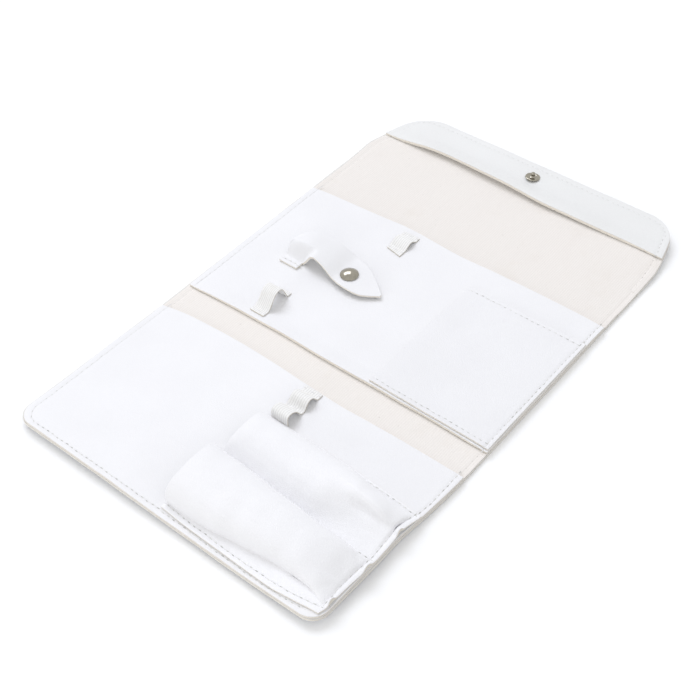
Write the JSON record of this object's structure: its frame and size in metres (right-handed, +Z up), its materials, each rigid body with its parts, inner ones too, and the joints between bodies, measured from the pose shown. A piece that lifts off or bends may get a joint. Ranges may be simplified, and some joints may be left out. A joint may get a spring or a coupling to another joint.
{
  "type": "jewelry box",
  "caption": "Soft leather jewelry case, open: folds in three over tubular pockets, elastic loops, a snap strap and a card pocket, and closes with a flap snap.",
  "frame": {"origin": "on the table, under the centre of the open case's outline", "axes": "+X across the case, +Y along it towards the cover's end, +Z up out of the lined side"},
  "size_m": [0.22, 0.3576, 0.0221],
  "materials": {
    "leather": "white grained leather with tan cut edges",
    "lining": "matt cream backing with a fine weave",
    "elastic": "off-white ribbed elastic",
    "thread": "white sewing thread",
    "nickel": "polished nickel"
  },
  "bodies": {
    "middle_panel": {"shell_middle_panel": "leather", "lining_middle_panel": "lining", "facing_middle_panel": "leather", "card_pocket": "leather", "loop_a": "elastic", "loop_b": "elastic", "strap_foot": "leather", "strap_stud": "nickel", "thread_middle_left": "thread", "thread_middle_right": "thread", "thread_card_near": "thread", "thread_card_far": "thread", "thread_loop_a_near": "thread", "thread_loop_a_far": "thread", "thread_loop_b_near": "thread", "thread_loop_b_far": "thread", "thread_strap_foot": "thread"},
    "near_fold": {"shell_near_fold": "leather", "lining_near_fold": "lining", "thread_near_fold_left": "thread", "thread_near_fold_right": "thread"},
    "near_panel": {"shell_near_panel": "leather", "lining_near_panel": "lining", "facing_near_panel": "leather", "tube_pockets": "leather", "double_loop": "elastic", "outer_socket": "nickel", "thread_near_edge": "thread", "thread_tube_near": "thread", "thread_tube_middle": "thread", "thread_tube_far": "thread", "thread_double_middle": "thread", "thread_double_end": "thread"},
    "far_fold": {"shell_far_fold": "leather", "lining_far_fold": "lining", "thread_far_fold_left": "thread", "thread_far_fold_right": "thread"},
    "cover": {"shell_cover": "leather", "lining_cover": "lining", "facing_flap": "leather", "flap_stud": "nickel", "flap_cap": "nickel", "thread_cover_edge": "thread"},
    "strap": {"strap": "leather", "strap_cap": "nickel", "strap_socket": "nickel"}
  },
  "joints": [
    {"name": "near_fold_hinge", "type": "hinge", "parent": "middle_panel", "child": "near_fold", "pos_m": [0, -0.04208, 0.005], "axis": [-1, 0, 0], "range_deg": [0, 90]},
    {"name": "near_panel_hinge", "type": "hinge", "parent": "near_fold", "child": "near_panel", "pos_m": [0, -0.06208, 0.005], "axis": [-1, 0, 0], "range_deg": [0, 90]},
    {"name": "far_fold_hinge", "type": "hinge", "parent": "middle_panel", "child": "far_fold", "pos_m": [0, 0.07852, 0.005], "axis": [1, 0, 0], "range_deg": [0, 90]},
    {"name": "cover_hinge", "type": "hinge", "parent": "far_fold", "child": "cover", "pos_m": [0, 0.10678, 0.005], "axis": [1, 0, 0], "range_deg": [0, 90]},
    {"name": "strap_hinge", "type": "hinge", "parent": "middle_panel", "child": "strap", "pos_m": [-0.0718, 0.01092, 0.005], "axis": [1, 0, 0], "range_deg": [0, 30]}
  ],
  "couplings": [
    {"joint": "near_panel_hinge", "follows": "near_fold_hinge", "ratio": 1},
    {"joint": "cover_hinge", "follows": "far_fold_hinge", "ratio": 1}
  ]
}
